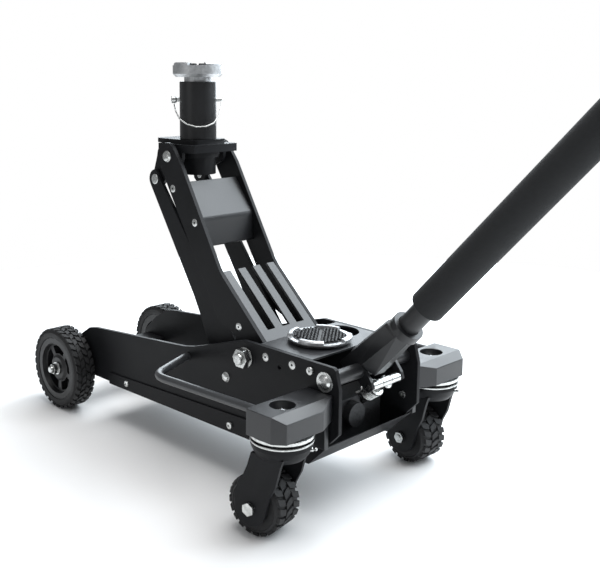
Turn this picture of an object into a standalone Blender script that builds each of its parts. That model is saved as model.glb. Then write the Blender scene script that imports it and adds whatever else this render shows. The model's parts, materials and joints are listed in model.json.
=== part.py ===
"""Raised off-road trolley jack, built from its separate pieces.

Lengths are metres. X runs from the lifting saddle end to the handle end, Y to the jack's right, Z up.
Positions are given from the front axle line on the floor and shifted once, so that the
bounding box of the whole jack is centred on the origin.
"""
import math

import bmesh
import bpy
from mathutils import Matrix, Vector

# ------------------------------------------------------------------ driving dimensions
GAP = 0.0003
FRONT_R = 0.085
FRONT_HALF_W = 0.0238
FRONT_TRACK = 0.1372
FRONT_AXLE_END = 0.1735
RIM_R = 0.066

PLATE_OUT = 0.1055
PLATE_T = 0.008
PLATE_IN = PLATE_OUT - PLATE_T
TOP_Z = 0.2535
COVER_T = 0.004
COVER_X0 = 0.5575
COVER_X1 = 0.674

SKID_T = 0.003
SKID_HALF = PLATE_OUT + GAP + SKID_T

SHOULDER_HALF = 0.2415
SHOULDER_X0 = 0.6735
SHOULDER_X1 = 0.7268
SHOULDER_TOP = 0.2101
SHOULDER_BOTTOM = 0.1687
CHAMFER_RUN = 0.018
CHAMFER_DROP = 0.0101
CHAMFER_OUT = 0.0146
CHAMFER_IN = 0.0407

CASTER_X = 0.7008
CASTER_Y = 0.1912
CASTER_TRAIL = 0.0327
CASTER_R = 0.0490
CASTER_HALF_W = 0.0296
CASTER_LEFT_DEG = 9.9
CASTER_RIGHT_DEG = -4.0

BAR_R = 0.007
BAR_ROOT = (0.3760, 0.1900)
BAR_BEND = (0.4340, 0.2290, 0.1970)
BAR_END = (0.6880, 0.2195, 0.2018)

ARM_PIVOT = (0.530, 0.225)
ARM_LENGTH = 0.410
ARM_DEG = 52.43
ARM_OUT = 0.073
ARM_PLATE_T = 0.008
ARM_IN = ARM_OUT - ARM_PLATE_T
PIVOT_TUBE_R = 0.0155
PIVOT_BOLT_R = 0.010
LINK_RELIEF_R = 0.0625

LINK_OFFSET = (-0.050, -0.048)
LINK_OUT = 0.0640
LINK_IN = 0.0565
HEAD_PIN_R = 0.007

LEVER_R = 0.090
LEVER_REST_DEG = 24.0
LEVER_IN = 0.0145
LEVER_OUT = 0.0215
RAM_PIN_R = 0.008
RAM_Z = 0.139
RAM_RATIO = LEVER_R * 0.5 / math.radians(30.0)
RAM_ROD_R = 0.0135
RAM_CYL_R = 0.021
RAM_CYL_X0 = 0.5895
RAM_CYL_X1 = 0.690

POST_X = 0.284
POST_R = 0.0353
STEM_R = 0.030
BRACKET_TOP = 0.580
POST_TOP = 0.6895
PIN_Z = 0.655
PIN_TURN_DEG = 47.2
SADDLE_R = 0.048
SADDLE_BASE = 0.698
SADDLE_TOP = 0.7255
NOTCH_TURN_DEG = -42.8

SPARE_X = 0.615
SPARE_Y = -0.012
SPARE_R = 0.0555

HANDLE_PIVOT = (0.7106, 0.2275)
HANDLE_DEG = 47.95
HANDLE_R = 0.018
HANDLE_END = 1.100
SOCKET_HALF = 0.0262
SOCKET_TAIL = -0.022
SOCKET_END = 0.106
COLLAR_R = 0.0265
COLLAR_END = 0.118
FOAM_START = 0.166
FOAM_END = 0.760
FOAM_R = 0.0275
BARREL_R = 0.0125
BARREL_END = 0.0968

PUMP_DEG = 36.7
PUMP_Y = 0.034
ROLLER_ARM = 0.0310
ROLLER_DEG = 43.0
ROLLER_Y = 0.017
ROLLER_HALF = 0.0355
ROLLER_R = 0.0078
PLUNGER_R = 0.0085

HANDLE_DIR = (math.cos(math.radians(HANDLE_DEG)), math.sin(math.radians(HANDLE_DEG)))
BOX_X0 = -FRONT_R
BOX_X1 = HANDLE_PIVOT[0] + HANDLE_END * HANDLE_DIR[0] + HANDLE_R * HANDLE_DIR[1]
SHIFT_X = -0.5 * (BOX_X0 + BOX_X1)

# ------------------------------------------------------------------ clean start
for old in list(bpy.data.objects):
    bpy.data.objects.remove(old, do_unlink=True)
SCENE = bpy.context.scene.collection


# ------------------------------------------------------------------ materials
def finish(name, colour, roughness, metallic):
    """One Principled finish for a sub-part."""
    mat = bpy.data.materials.new(name)
    mat.use_nodes = True
    shader = mat.node_tree.nodes["Principled BSDF"]
    shader.inputs["Base Color"].default_value = (colour[0], colour[1], colour[2], 1.0)
    shader.inputs["Roughness"].default_value = roughness
    shader.inputs["Metallic"].default_value = metallic
    mat.diffuse_color = (colour[0], colour[1], colour[2], 1.0)
    return mat


COAT = ((0.022, 0.023, 0.026), 0.38, 0.25)
COAT_GREY = ((0.030, 0.032, 0.036), 0.34, 0.30)
RUBBER = ((0.016, 0.016, 0.017), 0.78, 0.0)
PLASTIC = ((0.020, 0.020, 0.021), 0.45, 0.0)
FOAM = ((0.018, 0.019, 0.021), 0.95, 0.0)
ZINC = ((0.62, 0.63, 0.62), 0.28, 1.0)
CAST = ((0.55, 0.56, 0.57), 0.42, 0.9)
IRON = ((0.10, 0.105, 0.11), 0.5, 0.6)


# ------------------------------------------------------------------ mesh helpers
def obj_from_bm(name, bm, look, location=(0.0, 0.0, 0.0), smooth_deg=None):
    """Turns a bmesh into a named node with its own finish; location is from the front axle."""
    bmesh.ops.remove_doubles(bm, verts=bm.verts, dist=0.00001)
    bmesh.ops.recalc_face_normals(bm, faces=bm.faces)
    mesh = bpy.data.meshes.new(name)
    bm.to_mesh(mesh)
    bm.free()
    obj = bpy.data.objects.new(name, mesh)
    SCENE.objects.link(obj)
    if smooth_deg is not None:
        mesh.shade_smooth()
        mesh.set_sharp_from_angle(angle=math.radians(smooth_deg))
    if look is not None:
        mesh.materials.append(finish(name + "_finish", look[0], look[1], look[2]))
    obj.location = (location[0] + SHIFT_X, location[1], location[2])
    return obj


def prism_bm(outline, lo, hi, axis="Y", holes=()):
    """A flat plate: an outline with holes, extruded between lo and hi along an axis."""
    bm = bmesh.new()
    edges = []
    for loop in [outline] + list(holes):
        ring = []
        for a, b in loop:
            if axis == "Y":
                ring.append(bm.verts.new((a, lo, b)))
            elif axis == "Z":
                ring.append(bm.verts.new((a, b, lo)))
            else:
                ring.append(bm.verts.new((lo, a, b)))
        for i in range(len(ring)):
            edges.append(bm.edges.new((ring[i], ring[(i + 1) % len(ring)])))
    bmesh.ops.triangle_fill(bm, edges=edges, use_beauty=True)
    base = list(bm.faces)
    out = bmesh.ops.extrude_face_region(bm, geom=base)
    moved = [g for g in out["geom"] if isinstance(g, bmesh.types.BMVert)]
    step = hi - lo
    move = {"X": (step, 0, 0), "Y": (0, step, 0), "Z": (0, 0, step)}[axis]
    bmesh.ops.translate(bm, verts=moved, vec=move)
    bmesh.ops.recalc_face_normals(bm, faces=bm.faces)
    return bm


def lathe_bm(profile, segments, ring=False):
    """Turns (radius, height) points about Z; ring closes the profile on itself."""
    bm = bmesh.new()
    loops = []
    for r, h in profile:
        if r <= 0.0:
            loops.append([bm.verts.new((0.0, 0.0, h))])
        else:
            row = []
            for i in range(segments):
                t = 2.0 * math.pi * i / segments
                row.append(bm.verts.new((r * math.cos(t), r * math.sin(t), h)))
            loops.append(row)
    pairs = list(zip(loops, loops[1:]))
    if ring:
        pairs.append((loops[-1], loops[0]))
    for low, high in pairs:
        for i in range(segments):
            j = (i + 1) % segments
            if len(low) == 1 and len(high) == 1:
                continue
            if len(low) == 1:
                bm.faces.new((low[0], high[i], high[j]))
            elif len(high) == 1:
                bm.faces.new((low[i], low[j], high[0]))
            else:
                bm.faces.new((low[i], low[j], high[j], high[i]))
    bmesh.ops.recalc_face_normals(bm, faces=bm.faces)
    return bm


def turn(bm, rotation):
    """Rotates a bmesh about its own origin."""
    bmesh.ops.transform(bm, matrix=rotation, verts=bm.verts)
    return bm


def shift(bm, vec):
    """Moves a bmesh."""
    bmesh.ops.translate(bm, verts=bm.verts, vec=vec)
    return bm


def mirror_y(bm):
    """The left-hand copy of a right-hand bmesh."""
    bmesh.ops.transform(bm, matrix=Matrix.Scale(-1.0, 4, (0.0, 1.0, 0.0)), verts=bm.verts)
    bmesh.ops.reverse_faces(bm, faces=bm.faces)
    bmesh.ops.recalc_face_normals(bm, faces=bm.faces)
    return bm


def along_y(bm):
    """Lays a turned piece along Y, its height axis pointing to +Y."""
    return turn(bm, Matrix.Rotation(math.radians(-90.0), 4, "X"))


def along_x(bm):
    """Lays a turned piece along X, its height axis pointing to +X."""
    return turn(bm, Matrix.Rotation(math.radians(90.0), 4, "Y"))


def along_dir(bm, deg):
    """Tilts a turned piece so its height axis rises deg above +X in the XZ plane."""
    return turn(bm, Matrix.Rotation(math.radians(90.0 - deg), 4, "Y"))


def combine(obj, cutters, operation):
    """Adds or removes other closed shapes, then clears the helper objects away."""
    for cutter in cutters:
        mod = obj.modifiers.new("combine", "BOOLEAN")
        mod.operation = operation
        mod.solver = "EXACT"
        mod.object = cutter
        bpy.context.view_layer.update()
        deps = bpy.context.evaluated_depsgraph_get()
        mesh = bpy.data.meshes.new_from_object(obj.evaluated_get(deps), depsgraph=deps)
        obj.modifiers.clear()
        old_mesh = obj.data
        mesh.materials.clear()
        for mat in old_mesh.materials:
            mesh.materials.append(mat)
        for poly in mesh.polygons:
            poly.material_index = 0
        obj.data = mesh
        bpy.data.objects.remove(cutter, do_unlink=True)
    mesh = obj.data
    bm = bmesh.new()
    bm.from_mesh(mesh)
    bmesh.ops.triangulate(bm, faces=bm.faces)
    bmesh.ops.remove_doubles(bm, verts=bm.verts, dist=0.000002)
    bmesh.ops.dissolve_degenerate(bm, edges=bm.edges, dist=0.000002)
    bm.to_mesh(mesh)
    bm.free()
    mesh.name = obj.name
    return obj


def soften(obj, deg):
    """Smooth shading with sharp edges kept above an angle."""
    obj.data.shade_smooth()
    obj.data.set_sharp_from_angle(angle=math.radians(deg))
    return obj


def circle(cx, cy, r, count, start_deg=0.0):
    """A round outline."""
    pts = []
    for i in range(count):
        t = math.radians(start_deg) + 2.0 * math.pi * i / count
        pts.append((cx + r * math.cos(t), cy + r * math.sin(t)))
    return pts


def arc(cx, cy, r, deg0, deg1, count):
    """Part of a round outline, both ends included."""
    pts = []
    for i in range(count + 1):
        t = math.radians(deg0 + (deg1 - deg0) * i / count)
        pts.append((cx + r * math.cos(t), cy + r * math.sin(t)))
    return pts


def hexagon(r_across_flats, turn_deg=0.0):
    """A nut outline."""
    return circle(0.0, 0.0, 0.5 * r_across_flats / math.cos(math.radians(30.0)), 6, turn_deg)


def box_bm(x0, x1, y0, y1, z0, z1):
    """A plain block."""
    return prism_bm([(x0, y0), (x1, y0), (x1, y1), (x0, y1)], z0, z1, "Z")


def wire_bm(points, radius, sides=10):
    """A round bar swept along points, with filled ends."""
    bm = bmesh.new()
    pts = [Vector(p) for p in points]
    normal = None
    rings = []
    for i, p in enumerate(pts):
        a = pts[max(i - 1, 0)]
        b = pts[min(i + 1, len(pts) - 1)]
        t = (b - a).normalized()
        if normal is None:
            ref = Vector((0.0, 0.0, 1.0))
            if abs(t.z) > 0.9:
                ref = Vector((1.0, 0.0, 0.0))
            normal = t.cross(ref).normalized()
        normal = (normal - t * normal.dot(t)).normalized()
        side = t.cross(normal)
        row = []
        for k in range(sides):
            w = 2.0 * math.pi * k / sides
            row.append(bm.verts.new(p + normal * (radius * math.cos(w)) + side * (radius * math.sin(w))))
        rings.append(row)
    for low, high in zip(rings, rings[1:]):
        for k in range(sides):
            j = (k + 1) % sides
            bm.faces.new((low[k], low[j], high[j], high[k]))
    bm.faces.new(rings[0])
    bm.faces.new(rings[-1])
    bmesh.ops.recalc_face_normals(bm, faces=bm.faces)
    return bm


def both_sides(name, build, look, location, smooth_deg=None):
    """Makes the right-hand piece from build() and its mirrored left-hand partner."""
    right = obj_from_bm(name + "_right", build(), look, location, smooth_deg)
    left_at = (location[0], -location[1], location[2])
    left = obj_from_bm(name + "_left", mirror_y(build()), look, left_at, smooth_deg)
    return left, right


# ------------------------------------------------------------------ chassis
def skid_z(x):
    """Underside height of the skid plate along the jack."""
    if x <= 0.68:
        return 0.0725 + (x - 0.125) * 0.0105 / 0.555
    return 0.083 + (x - 0.68) * 0.040 / 0.040


def skid_flange_z(x):
    """Height of the skid plate's side flanges."""
    if x <= 0.60:
        return 0.0965 + (x - 0.125) * 0.0215 / 0.475
    return 0.118


SIDE_OUTLINE = [
    (-0.026, 0.066),
    (0.030, 0.0745),
    (0.125, skid_z(0.125) + SKID_T + GAP),
    (0.680, skid_z(0.68) + SKID_T + GAP),
    (0.700, 0.1063),
    (0.7392, 0.1480),
    (0.7392, 0.2193),
    (0.7312, 0.2500),
    (0.7262, TOP_Z),
    (0.5260, TOP_Z),
    (0.5080, 0.2485),
    (0.3900, 0.2115),
    (0.3646, 0.2060),
    (0.3350, 0.2030),
    (0.0760, 0.1800),
    (0.0500, 0.1745),
    (0.0150, 0.1520),
    (-0.0200, 0.1200),
    (-0.0330, 0.0950),
    (-0.0345, 0.0750),
]

LINK_PIVOT = (ARM_PIVOT[0] + LINK_OFFSET[0], ARM_PIVOT[1] + LINK_OFFSET[1])


def side_plate():
    """Flat side plate with its bolt holes."""
    holes = [
        circle(0.0, FRONT_R, 0.0083, 20),
        circle(ARM_PIVOT[0], ARM_PIVOT[1], PIVOT_BOLT_R + GAP, 24),
        circle(LINK_PIVOT[0], LINK_PIVOT[1], 0.0048, 16),
        circle(HANDLE_PIVOT[0], HANDLE_PIVOT[1], 0.0063, 16),
        circle(0.6103, 0.2260, 0.0035, 12),
    ]
    return prism_bm(SIDE_OUTLINE, PLATE_IN, PLATE_OUT, "Y", holes)


both_sides("side_plate", side_plate, COAT, (0.0, 0.0, 0.0))


def skid_plate():
    """Channel-shaped skid plate, turned up behind as a lip between the casters."""
    bm = bmesh.new()
    rings = []
    for x in (0.125, 0.600, 0.680, 0.7195):
        zb = skid_z(x)
        zt = max(skid_flange_z(x), zb + 0.010)
        if x > 0.70:
            zt = zb + 0.014
        w = SKID_HALF
        t = SKID_T
        lift = 0.0
        if x > 0.65:
            lift = 0.0012
        section = [
            (-w, zt),
            (-w, zb),
            (w, zb),
            (w, zt),
            (w - t, zt),
            (w - t, zb + t - lift),
            (-w + t, zb + t - lift),
            (-w + t, zt),
        ]
        rings.append([bm.verts.new((x, y, z)) for y, z in section])
    for low, high in zip(rings, rings[1:]):
        for k in range(8):
            j = (k + 1) % 8
            bm.faces.new((low[k], low[j], high[j], high[k]))
    for row in (rings[0], rings[-1]):
        bm.faces.new((row[0], row[1], row[6], row[7]))
        bm.faces.new((row[1], row[2], row[5], row[6]))
        bm.faces.new((row[2], row[3], row[4], row[5]))
    bmesh.ops.recalc_face_normals(bm, faces=bm.faces)
    return bm


obj_from_bm("skid_plate", skid_plate(), COAT)

COVER_OUTLINE = [
    (COVER_X0, -PLATE_IN + GAP),
    (COVER_X1, -PLATE_IN + GAP),
    (COVER_X1, PLATE_IN - GAP),
    (COVER_X0, PLATE_IN - GAP),
]
COVER_HOLES = [
    circle(SPARE_X, SPARE_Y, 0.0168, 24),
    circle(0.598, 0.055, 0.0370, 40),
]
cover = prism_bm(COVER_OUTLINE, TOP_Z - COVER_T, TOP_Z, "Z", COVER_HOLES)
obj_from_bm("top_cover", cover, COAT_GREY)

front_cross = box_bm(-0.014, 0.048, -PLATE_IN + GAP, PLATE_IN - GAP, 0.0985, 0.1110)
obj_from_bm("front_cross_plate", front_cross, COAT)


def front_axle():
    """Through axle with threaded ends for the wheel nuts."""
    half = FRONT_AXLE_END
    profile = [
        (0.0, -half),
        (0.0055, -half),
        (0.0070, -half + 0.0015),
        (0.0080, -half + 0.0100),
        (0.0080, half - 0.0100),
        (0.0070, half - 0.0015),
        (0.0055, half),
        (0.0, half),
    ]
    return along_y(lathe_bm(profile, 20))


obj_from_bm("front_axle", front_axle(), ZINC, (0.0, 0.0, FRONT_R), 40)


def nut_bm(flats, height, bore, washer_r=0.0, washer_t=0.0):
    """Hex nut with a washer under it, standing on Z = 0 and rising along +Z."""
    nut = prism_bm(hexagon(flats), washer_t, washer_t + height, "Z", [circle(0.0, 0.0, bore, 16)])
    body = obj_from_bm("nut_tmp", nut, None)
    if washer_r > 0.0:
        disc = prism_bm(circle(0.0, 0.0, washer_r, 18), 0.0, washer_t + 0.0004, "Z",
                        [circle(0.0, 0.0, bore, 16)])
        combine(body, [obj_from_bm("washer_tmp", disc, None)], "UNION")
    bm = bmesh.new()
    bm.from_mesh(body.data)
    bpy.data.objects.remove(body, do_unlink=True)
    return bm


def front_nut():
    """Wheel nut and washer on the outer side of the hub."""
    return along_y(nut_bm(0.0190, 0.0100, 0.0084, 0.0135, 0.0022))


both_sides("front_axle_nut", front_nut, ZINC, (0.0, FRONT_AXLE_END - 0.0190, FRONT_R))


def front_tyre():
    """Solid rubber tyre of a front wheel."""
    w = FRONT_HALF_W
    r = FRONT_R
    profile = [
        (RIM_R, -w),
        (r - 0.006, -w),
        (r, -w + 0.009),
        (r, w - 0.009),
        (r - 0.006, w),
        (RIM_R, w),
    ]
    return along_y(lathe_bm(profile, 48, ring=True))


both_sides("front_tyre", front_tyre, RUBBER, (0.0, FRONT_TRACK, FRONT_R), 30)


def front_hub():
    """Plastic hub with a recessed face and five blind pockets between spokes."""
    rim = RIM_R - GAP
    profile = [
        (0.0083, -0.0230),
        (0.0240, -0.0230),
        (0.0262, -0.0060),
        (0.0505, -0.0060),
        (0.0520, -0.0215),
        (rim, -0.0215),
        (rim, 0.0215),
        (0.0535, 0.0215),
        (0.0510, 0.0120),
        (0.0280, 0.0120),
        (0.0230, 0.0165),
        (0.0083, 0.0165),
    ]
    hub = obj_from_bm("hub_tmp", lathe_bm(profile, 24, ring=True), None)
    pockets = bmesh.new()
    for k in range(5):
        mid = 90.0 + 72.0 * k + 36.0
        outline = arc(0.0, 0.0, 0.0480, mid - 28.0, mid + 28.0, 4)
        outline = outline + arc(0.0, 0.0, 0.0305, mid + 26.0, mid - 26.0, 2)
        part = prism_bm(outline, -0.003, 0.04, "Z")
        part_mesh = bpy.data.meshes.new("pocket_tmp")
        part.to_mesh(part_mesh)
        part.free()
        pockets.from_mesh(part_mesh)
        bpy.data.meshes.remove(part_mesh)
    combine(hub, [obj_from_bm("pockets_tmp", pockets, None)], "DIFFERENCE")
    bm = bmesh.new()
    bm.from_mesh(hub.data)
    bpy.data.objects.remove(hub, do_unlink=True)
    return along_y(bm)


for pair in both_sides("front_hub", front_hub, PLASTIC, (0.0, FRONT_TRACK, FRONT_R)):
    soften(pair, 35)


# ------------------------------------------------------------------ caster shoulders and carry bars
def shoulder():
    """Cast shoulder beside the side plate with the caster bolt pocket."""
    y0 = PLATE_OUT + GAP
    y1 = SHOULDER_HALF
    x0 = SHOULDER_X0
    x1 = SHOULDER_X1
    x2 = SHOULDER_X1 + CHAMFER_RUN
    plan = [
        (x0, y0),
        (x0, y1),
        (x1, y1),
        (x2, y1 - CHAMFER_OUT),
        (x2, y0 + CHAMFER_IN),
        (x1, y0),
    ]
    low = SHOULDER_TOP - CHAMFER_DROP
    tops = [SHOULDER_TOP, SHOULDER_TOP, SHOULDER_TOP, low, low, SHOULDER_TOP]
    bm = bmesh.new()
    bottom = [bm.verts.new((x, y, SHOULDER_BOTTOM)) for x, y in plan]
    top = [bm.verts.new((p[0], p[1], z)) for p, z in zip(plan, tops)]
    for k in range(6):
        j = (k + 1) % 6
        bm.faces.new((bottom[k], bottom[j], top[j], top[k]))
    bm.faces.new(bottom)
    bm.faces.new((top[0], top[1], top[2], top[5]))
    bm.faces.new((top[2], top[3], top[4], top[5]))
    bmesh.ops.recalc_face_normals(bm, faces=bm.faces)
    body = obj_from_bm("shoulder_tmp", bm, None)
    foot = box_bm(x0 + 0.004, x1 - 0.004, y0 + 0.0035, y0 + 0.013, 0.122, SHOULDER_BOTTOM + 0.004)
    combine(body, [obj_from_bm("foot_tmp", foot, None)], "UNION")
    pocket = prism_bm(circle(CASTER_X, CASTER_Y, 0.0201, 32), 0.182, 0.24, "Z")
    bore = prism_bm(circle(CASTER_X, CASTER_Y, 0.0083, 20), 0.15, 0.19, "Z")
    run = (Vector(BAR_END) - Vector(BAR_BEND)).normalized()
    bar = wire_bm([Vector(BAR_END) - run * 0.030, Vector(BAR_END) + run * 0.0008], BAR_R + 0.0004, 16)
    cutters = [obj_from_bm("pocket_tmp", pocket, None), obj_from_bm("bore_tmp", bore, None)]
    cutters.append(obj_from_bm("bar_tmp", bar, None))
    combine(body, cutters, "DIFFERENCE")
    out = bmesh.new()
    out.from_mesh(body.data)
    bpy.data.objects.remove(body, do_unlink=True)
    return out


for pair in both_sides("shoulder", shoulder, COAT_GREY, (0.0, 0.0, 0.0)):
    soften(pair, 25)


def carry_bar():
    """Bent round bar from the side plate out and back to the shoulder."""
    start = Vector((BAR_ROOT[0], PLATE_OUT + GAP, BAR_ROOT[1]))
    foot = Vector((BAR_ROOT[0], PLATE_OUT + 0.0080, BAR_ROOT[1]))
    corner = Vector(BAR_BEND)
    end = Vector(BAR_END)
    back = 0.030
    first = corner + (start - corner).normalized() * back
    last = corner + (end - corner).normalized() * back
    pts = [start, foot, first]
    for i in range(1, 8):
        t = i / 8.0
        a = first.lerp(corner, t)
        b = corner.lerp(last, t)
        pts.append(a.lerp(b, t))
    pts.append(last)
    pts.append(end)
    return wire_bm(pts, BAR_R, 16)


both_sides("carry_bar", carry_bar, COAT, (0.0, 0.0, 0.0), 40)

# ------------------------------------------------------------------ casters
LEFT_SWIVEL = bpy.data.objects.new("left_swivel_axis", None)
RIGHT_SWIVEL = bpy.data.objects.new("right_swivel_axis", None)
for empty, side in ((LEFT_SWIVEL, -1.0), (RIGHT_SWIVEL, 1.0)):
    SCENE.objects.link(empty)
    empty.location = (CASTER_X + SHIFT_X, side * CASTER_Y, 0.0)
LEFT_SWIVEL.rotation_euler = (0.0, 0.0, math.radians(CASTER_LEFT_DEG))
RIGHT_SWIVEL.rotation_euler = (0.0, 0.0, math.radians(CASTER_RIGHT_DEG))


def caster_ring():
    """Zinc plated upper bearing plate bolted under the shoulder."""
    profile = [
        (0.0083, 0.1603),
        (0.0400, 0.1603),
        (0.0400, 0.1628),
        (0.0485, 0.1628),
        (0.0500, 0.1640),
        (0.0500, SHOULDER_BOTTOM - GAP),
        (0.0083, SHOULDER_BOTTOM - GAP),
    ]
    return lathe_bm(profile, 28, ring=True)


both_sides("caster_top_ring", caster_ring, ZINC, (CASTER_X, CASTER_Y, 0.0), 30)


def kingpin():
    """Swivel bolt of a caster with its nut in the shoulder pocket."""
    profile = [
        (0.0, 0.1255),
        (0.0120, 0.1255),
        (0.0130, 0.1300),
        (0.0080, 0.1300),
        (0.0080, 0.1823),
        (0.0130, 0.1823),
        (0.0130, 0.1940),
        (0.0100, 0.2005),
        (0.0, 0.2040),
    ]
    return lathe_bm(profile, 14)


both_sides("caster_kingpin", kingpin, ZINC, (CASTER_X, CASTER_Y, 0.0), 40)


def caster_fork():
    """Black fork: swivel disc with two legs down to the wheel bolt."""
    disc = lathe_bm([
        (0.0083, 0.1303),
        (0.0360, 0.1303),
        (0.0440, 0.1400),
        (0.0485, 0.1500),
        (0.0485, 0.1600),
        (0.0083, 0.1600),
    ], 28, ring=True)
    body = obj_from_bm("fork_tmp", disc, None)
    cx = -CASTER_TRAIL
    outline = [(0.0275, 0.1400), (0.0227, 0.1285), (0.0140, 0.0956), (0.0028, 0.0735)]
    outline = outline + arc(cx, CASTER_R, 0.0280, -15.0, -185.0, 14)
    outline = outline + [(-0.0620, 0.0620), (-0.0559, 0.0862), (-0.0464, 0.0991)]
    outline = outline + [(-0.0381, 0.1175), (-0.0311, 0.1400)]
    hole = [circle(cx, CASTER_R, 0.0063, 16)]
    inner = CASTER_HALF_W + 0.0025
    outer = inner + 0.0060
    legs = []
    for lo, hi in ((inner, outer), (-outer, -inner)):
        legs.append(obj_from_bm("leg_tmp", prism_bm(outline, lo, hi, "Y", hole), None))
    combine(body, legs, "UNION")
    out = bmesh.new()
    out.from_mesh(body.data)
    bpy.data.objects.remove(body, do_unlink=True)
    return out


def caster_wheel():
    """Rubber tyred caster wheel turning on its bolt."""
    w = CASTER_HALF_W
    r = CASTER_R
    profile = [
        (0.0063, -w),
        (r - 0.006, -w),
        (r, -w + 0.008),
        (r, w - 0.008),
        (r - 0.006, w),
        (0.0063, w),
    ]
    return along_y(lathe_bm(profile, 36, ring=True))


def caster_bolt():
    """Wheel bolt of a caster: hex head outside, nut on the inner side."""
    leg = CASTER_HALF_W + 0.0085
    shank = obj_from_bm("shank_tmp", along_y(lathe_bm([
        (0.0, -leg - 0.0085),
        (0.0050, -leg - 0.0085),
        (0.0060, -leg - 0.0075),
        (0.0060, leg + 0.0040),
        (0.0, leg + 0.0040),
    ], 16)), None)
    head = prism_bm(hexagon(0.0190, 30.0), leg + GAP, leg + 0.0068, "Y")
    nut = prism_bm(hexagon(0.0180, 10.0), -leg - 0.0063, -leg - GAP, "Y")
    combine(shank, [obj_from_bm("head_tmp", head, None), obj_from_bm("nut_tmp", nut, None)], "UNION")
    out = bmesh.new()
    out.from_mesh(shank.data)
    bpy.data.objects.remove(shank, do_unlink=True)
    return out


for empty, side, tag in ((LEFT_SWIVEL, -1.0, "left"), (RIGHT_SWIVEL, 1.0, "right")):
    fork = caster_fork()
    wheel = caster_wheel()
    bolt = caster_bolt()
    if side < 0.0:
        bolt = mirror_y(bolt)
    fork_obj = soften(obj_from_bm("caster_fork_" + tag, fork, COAT), 35)
    wheel_obj = obj_from_bm("caster_wheel_" + tag, wheel, RUBBER, (0.0, 0.0, 0.0), 30)
    bolt_obj = soften(obj_from_bm("caster_axle_bolt_" + tag, bolt, ZINC), 35)
    for child in (fork_obj, wheel_obj, bolt_obj):
        child.parent = empty
    fork_obj.location = (0.0, 0.0, 0.0)
    wheel_obj.location = (-CASTER_TRAIL, 0.0, CASTER_R)
    bolt_obj.location = (-CASTER_TRAIL, 0.0, CASTER_R)

# ------------------------------------------------------------------ lifting arm
ARM_AT = (ARM_PIVOT[0], 0.0, ARM_PIVOT[1])
ARM_U = (-math.cos(math.radians(ARM_DEG)), math.sin(math.radians(ARM_DEG)))
ARM_V = (ARM_U[1], -ARM_U[0])


def arm_xz(points):
    """Arm coordinates (along the arm, towards its rear face) to X, Z offsets from the pivot."""
    return [(u * ARM_U[0] + v * ARM_V[0], u * ARM_U[1] + v * ARM_V[1]) for u, v in points]


def arm_plate():
    """Side plate of the lifting arm, widest at the pivot and kinked above the slotted web."""
    outline = [(-0.0330, 0.0050), (-0.0260, 0.0230), (0.0050, 0.0205), (0.1525, -0.0035)]
    outline = outline + [(0.1700, -0.0040), (0.2686, 0.0090), (0.3732, 0.0228)]
    outline = outline + arc(ARM_LENGTH + 0.002, -0.004, 0.0270, 85.0, -105.0, 10)
    outline = outline + [(0.2353, -0.0479), (0.1039, -0.0605), (0.0900, -0.0603), (0.0590, -0.0420)]
    outline = outline + arc(0.0, 0.0, LINK_RELIEF_R, -38.0, -60.0, 5)
    outline = outline + [(0.0100, -0.0520), (-0.0180, -0.0370), (-0.0320, -0.0150)]
    holes = [arm_xz(circle(0.0, 0.0, PIVOT_TUBE_R + GAP, 32))]
    holes.append(arm_xz(circle(ARM_LENGTH, 0.0, HEAD_PIN_R + GAP, 16)))
    return prism_bm(arm_xz(outline), ARM_IN, ARM_OUT, "Y", holes)


both_sides("arm_plate", arm_plate, COAT, ARM_AT)

BOX_OUTER = [
    (0.3490, 0.0050),
    (0.2720, 0.0035),
    (0.2672, 0.0020),
    (0.2640, -0.0010),
    (0.2270, -0.0275),
    (0.2262, -0.0308),
    (0.2290, -0.0325),
    (0.3400, -0.0325),
    (0.3470, -0.0300),
    (0.3500, -0.0240),
]
BOX_INNER = [(0.3450, 0.0008), (0.2700, -0.0008), (0.2345, -0.0285), (0.3390, -0.0285)]
cross_box = prism_bm(arm_xz(BOX_OUTER), -ARM_IN + GAP, ARM_IN - GAP, "Y", [arm_xz(BOX_INNER)])
obj_from_bm("arm_cross_box", cross_box, COAT_GREY, ARM_AT, 40)


def arm_web():
    """Slotted sheet closing the rear of the arm: four fingers, three open slots."""
    half = ARM_IN - GAP
    step = 2.0 * half / 7.0
    top = 0.1630
    slot_end = 0.0300
    foot = 0.0040
    outline = [(foot, -half), (foot, half), (top, half)]
    for k in range(3):
        y_hi = half - step * (2 * k + 1)
        y_lo = y_hi - step
        outline = outline + [(top, y_hi), (slot_end, y_hi), (slot_end, y_lo), (top, y_lo)]
    outline = outline + [(top, -half)]
    bm = prism_bm(outline, -0.005, 0.0, "Z")
    angle = math.atan2(0.0205 + 0.0035, 0.0050 - 0.1525)
    along = Vector((math.cos(angle), math.sin(angle)))
    for v in bm.verts:
        reach = v.co.x
        lift = v.co.z
        u = 0.1525 - (0.1525 - reach) * abs(along[0]) - lift * along[1] * -1.0
        w = -0.0035 + (0.1525 - reach) * along[1] + lift * abs(along[0])
        y = v.co.y
        x_off = u * ARM_U[0] + w * ARM_V[0]
        z_off = u * ARM_U[1] + w * ARM_V[1]
        v.co = (x_off, y, z_off)
    bmesh.ops.recalc_face_normals(bm, faces=bm.faces)
    return bm


obj_from_bm("arm_web", arm_web(), COAT_GREY, ARM_AT)


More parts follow.
